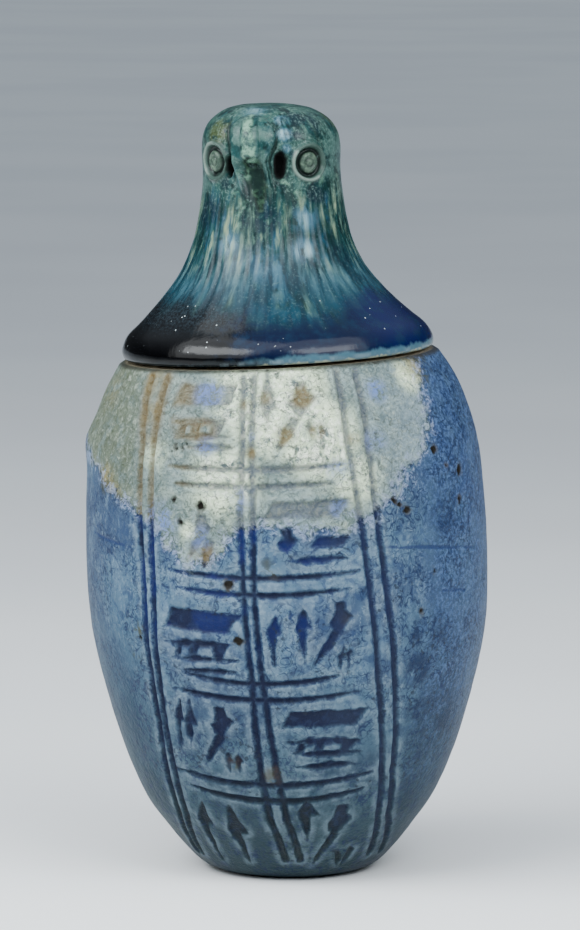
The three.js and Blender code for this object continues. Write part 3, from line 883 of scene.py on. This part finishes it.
def green_blue_glaze():
    """A thick alkaline copper glaze that ran down the lid in the kiln. The eye sees a glassy green,
    streaked down the neck, thin and pale over the beak with a painted highlight down its ridge, milky
    blue above the brim with painted reflections on the crown and glints on the neck, and pooled navy
    and nearly black at its foot, with a thin bare edge under it."""
    material, tree = new_material("green_blue_glaze")
    place = add(tree, "TexCoord").outputs["Object"]
    flow = add(tree, "Attribute", attribute_name="flow").outputs["Vector"]
    k = glaze_patterns(
        tree, {"place": place, "flow": flow},
        ("up", "strip", "rightward", "eye", "hollow", "deep", "grey", "light", "olive", "hazy", "throat",
         "pooled", "raised", "outside"),
        {
            "runs": ("flow", 5.0, 4, 0.6, 0.3), "threads": ("flow", 9.0, 4, 0.62, 0.4),
            "streaks": ("flow", 3.0, 4, 0.62, 0.2),
            "mottle": ("place", lumps(5), 5, 0.62, 0), "blotch": ("place", lumps(2.6), 4, 0.6, 0.2),
            "grit": ("place", lumps(0.9), 4, 0.7, 0), "clump": ("place", lumps(12), 2, 0.5, 0),
        },
    )
    k["bubbles"] = add(tree, "TexVoronoi", {"Vector": place, "Scale": lumps(2.4)}).outputs["Distance"]
    k["brink"] = ragged(tree, k, "pooled", runs=16, mottle=8)  # in mm, above zero in the pool
    k["lower"] = ragged(tree, k, "strip", threads=4)  # how far up the strip under the pool, in mm
    k["to_right"] = ragged(tree, k, "rightward", mottle=40)  # in degrees
    # how far from the middle of the groove round the eye, and of the small ring on its disc, in mm
    for name, radius in (("socket", 4.1), ("pupil", 1.3)):
        reach = add(tree, "Math", {0: k["eye"], 1: radius}, operation="SUBTRACT").outputs[0]
        k[name] = add(tree, "Math", {0: reach}, operation="ABSOLUTE").outputs[0]
    face = ("up", 50, 54)

    glaze = coats(tree, k, "061f1e", [
        ("1b4241", 0.9, ("runs", 0.36, 0.64)),  # lighter runs
        ("1b4154", 0.7, ("streaks", 0.5, 0.6), ("mottle", 0.38, 0.55)),  # bluer streaks
        ("04181a", 0.9, ("threads", 0.54, 0.34), ("streaks", 0.6, 0.42)),  # dark threads
        ("5f7a6c", 0.65, ("threads", 0.48, 0.68), ("clump", 0.42, 0.6)),  # pale threads
        ("2c4a43", 0.8, ("up", 50, 60), ("mottle", 0.42, 0.55)),  # greyer over the head
        # dark blotches on the head
        ("092121", 0.8, ("up", 50, 58), ("blotch", 0.5, 0.38), ("clump", 0.36, 0.5)),
        ("33596c", 0.75, ("hazy", 0.05, 0.8), ("mottle", 0.36, 0.5)),  # milky blue, partly painted reflections and glints
        ("0f323f", 0.9, ("up", 40, 22), ("runs", 0.3, 0.52)),  # bluer down the bell
        ("061c26", 0.75, ("up", 38, 28), ("threads", 0.53, 0.34)),  # dark threads on it
        # pale threads above the pool
        ("4c7380", 0.3, ("up", 18, 26), ("up", 40, 32), ("threads", 0.44, 0.66)),
        ("86a9b3", 0.7, ("hazy", 0.4, 1.0), ("threads", 0.38, 0.6)),  # the milkiest threads, brightest in the painted glints on the neck
        ("051a25", 0.85, ("deep", 0.05, 0.7), ("mottle", 0.36, 0.5)),  # thick and dark
        ("3d5a55", 0.85, ("grey", 0.05, 0.7), ("mottle", 0.36, 0.52)),  # dull grey green
        ("39411d", 0.8, ("olive", 0.05, 0.7), ("mottle", 0.42, 0.54)),  # olive
        ("061718", 0.65, ("blotch", 0.46, 0.3), ("up", 34, 48)),  # blotches
        # pale olive threads down the neck
        (
            "8f9c78", 0.7, ("threads", 0.46, 0.68), ("runs", 0.44, 0.64), ("up", 56, 46),
            ("up", 26, 34), ("deep", 0.6, 0.1),
        ),
        ("638081", 0.2, ("grit", 0.54, 0.68)),  # pale grit
        # pale grains on the head
        ("6f897e", 0.36, ("up", 44, 56), ("grit", 0.46, 0.68), ("mottle", 0.42, 0.54)),
        # dark ones between them
        ("0b211e", 0.6, ("up", 44, 56), ("grit", 0.47, 0.37), ("clump", 0.42, 0.54)),
        ("425d56", 0.5, ("raised", 0.5, 2.4), ("mottle", 0.38, 0.54)),  # pale over what stands out: partly thin glaze, partly a painted highlight on the raised parts
        ("04150e", 0.92, ("throat", 0.0, 0.9), ("threads", 0.64, 0.46)),  # the shade under the beak
        ("2a4233", 0.9, ("throat", 0.1, 0.9), ("blotch", 0.42, 0.62)),  # green in the shade
        # dark where the glaze gathered beside the beak, and painted shade along the edges of the arch
        ("091c19", 0.85, ("raised", -0.1, -0.7), ("mottle", 0.3, 0.48)),
        ("6f9680", 0.85, ("light", 0.05, 0.9), ("blotch", 0.38, 0.62)),  # thin and pale, and the painted highlight down the beak's ridge
        ("1f3a33", 0.6, ("light", 0.05, 0.5), ("grit", 0.47, 0.38)),  # dark grains in it
    ])
    deep = coats(tree, k, "020203", [
        ("081128", 1.0, ("to_right", -12, 8)),  # navy from the middle to the right
        ("07123c", 0.9, ("rightward", 40, 66)),  # cobalt at the far right
        ("0a2438", 0.6, ("mottle", 0.46, 0.68), ("to_right", -15, 10)),  # teal mottling
        # grey grit at its top on the left, partly a painted sheen
        ("1e292f", 0.8, ("up", 9, 16), ("grit", 0.38, 0.66), ("rightward", 8, -8)),
    ])
    strip = coats(tree, k, "0a1114", [("3f5f6c", 1.0, ("to_right", -8, 25))])
    bare_edge = coats(tree, k, "20282a", [("8f937e", 1.0, ("to_right", -45, 20))])
    glaze = coats(tree, k, glaze, [
        (deep, 1.0, ("brink", -4.0, 4.0)),  # the pool
        # small burst bubbles
        ("b9c2c2", 0.9, ("bubbles", 0.13, 0.07), ("clump", 0.5, 0.58), ("up", 5, 7), ("up", 22, 16)),
        (strip, 0.85, ("lower", 4.4, 3.0)),  # the strip under the pool
        # paler threads in it
        ("74858a", 0.45, ("lower", 4.0, 2.6), ("threads", 0.46, 0.66), ("to_right", -50, 0)),
        (bare_edge, 0.9, ("lower", 2.0, 1.2), ("blotch", 0.34, 0.54)),  # the bare edge
        ("364942", 0.85, ("eye", 6.8, 6.0), face),  # the ring round the eye
        # its paler parts, painted as highlights on the raised ring
        ("74867c", 0.7, ("eye", 6.6, 5.9), ("eye", 4.9, 5.5), ("clump", 0.5, 0.56), face),
        ("34443a", 0.85, ("eye", 3.8, 3.2), face),  # the disc
        ("5d705f", 0.7, ("eye", 3.8, 3.2), ("blotch", 0.44, 0.62), face),  # its mottling
        ("2c3a33", 0.6, ("pupil", 0.5, 0.15), face),  # the small ring on it
        ("0b1513", 0.95, ("socket", 1.0, 0.5), ("blotch", 0.3, 0.45), face),  # the groove
        ("030404", 1.0, ("hollow", 1.12, 0.75)),  # the pits beside the beak
    ])
    glaze = coats(tree, k, "b9ab8f", [(glaze, 1.0, ("outside", 0, 1))])

    relief = add(tree, "Math", {0: k["threads"], 1: 0.8, 2: k["mottle"]}, operation="MULTIPLY_ADD").outputs[0]
    bump = add(tree, "Bump", {"Height": relief, "Strength": 0.22, "Distance": 0.4 * MM})
    # the pool is the glassiest, and the pits and the shade under the beak are dull
    dullness = add(tree, "MapRange", {
        "Value": k["brink"], "From Min": -2.0, "From Max": 3.5, "To Min": 0.32, "To Max": 0.15,
    }).outputs["Result"]
    pits = add(tree, "MapRange", {"Value": k["hollow"], "From Min": 1.3, "From Max": 0.9}).outputs["Result"]
    for dull in (pits, k["throat"]):
        dullness = add(tree, "Math", {0: dullness, 1: dull}, operation="MAXIMUM").outputs[0]
    shader = add(tree, "BsdfPrincipled", {
        "Base Color": glaze, "Roughness": dullness, "Normal": bump.outputs[0], "IOR": 1.5,
        "Specular IOR Level": 0.19,
    })
    add(tree, "OutputMaterial", {"Surface": shader.outputs["BSDF"]})
    return material


make_jar(pale_blue_faience())
make_lid(green_blue_glaze())


# ---- floor and light ----
def plain_floor():
    """A wide pale floor, its tone a little uneven so that it doesn't look drawn."""
    bm = bmesh.new()
    bmesh.ops.create_grid(bm, x_segments=1, y_segments=1, size=30)
    mesh = bpy.data.meshes.new("floor")
    bm.to_mesh(mesh)
    bm.free()
    material, tree = new_material("pale_floor")
    place = add(tree, "TexCoord").outputs["Object"]
    tone = add(tree, "TexNoise", {"Vector": place, "Scale": lumps(400)}).outputs["Fac"]
    shader = add(tree, "BsdfPrincipled", {
        "Base Color": coats(tree, {"tone": tone}, "e6e8e9", [("eceeee", 1.0, ("tone", 0.35, 0.65))]),
        "Roughness": 0.9,
    })
    add(tree, "OutputMaterial", {"Surface": shader.outputs["BSDF"]})
    mesh.materials.append(material)
    floor = bpy.data.objects.new("floor", mesh)
    bpy.context.scene.collection.objects.link(floor)


LAMP_DISTANCE = 0.9  # metres


def softbox(name, bearing, elevation, size, power):
    """A soft rectangular lamp that looks at the jar from a bearing and an elevation."""
    data = bpy.data.lights.new(name, "AREA")
    data.shape = "RECTANGLE"
    data.size, data.size_y = size
    data.energy = power
    data.color = (0.93, 0.97, 1)
    lamp = bpy.data.objects.new(name, data)
    bpy.context.scene.collection.objects.link(lamp)
    turn, rise = math.radians(bearing), math.radians(elevation)
    out = Vector((math.sin(turn) * math.cos(rise), -math.cos(turn) * math.cos(rise), math.sin(rise)))
    centre = Vector((0, 0, 0.15))
    lamp.location = centre + out * LAMP_DISTANCE
    lamp.rotation_euler = (centre - lamp.location).to_track_quat("-Z", "Y").to_euler()


def soft_daylight():
    """A pale sky, bright overhead and dim at the horizon, so that the pooled glaze keeps its depth."""
    world = bpy.data.worlds.new("soft_daylight")
    world.use_nodes = True
    tree = world.node_tree
    rise = add(tree, "SeparateXYZ", {0: add(tree, "TexCoord").outputs["Generated"]}).outputs["Z"]
    strength = add(tree, "MapRange", {
        "Value": rise, "From Min": 0.2, "From Max": 0.85, "To Min": 0.06, "To Max": 0.9,
    }, interpolation_type="SMOOTHSTEP").outputs["Result"]
    background = tree.nodes["Background"]
    background.inputs["Color"].default_value = ink("d2deeb")
    tree.links.new(strength, background.inputs["Strength"])
    bpy.context.scene.world = world


plain_floor()
soft_daylight()
softbox("left_softbox", -45, 42, (1.1, 1.15), 11.5)
softbox("right_softbox", 52, 40, (0.95, 1.0), 7.5)
softbox("left_core", -44, 40, (0.7, 0.3), 8.5)
softbox("right_core", 48, 37, (0.6, 0.3), 5)
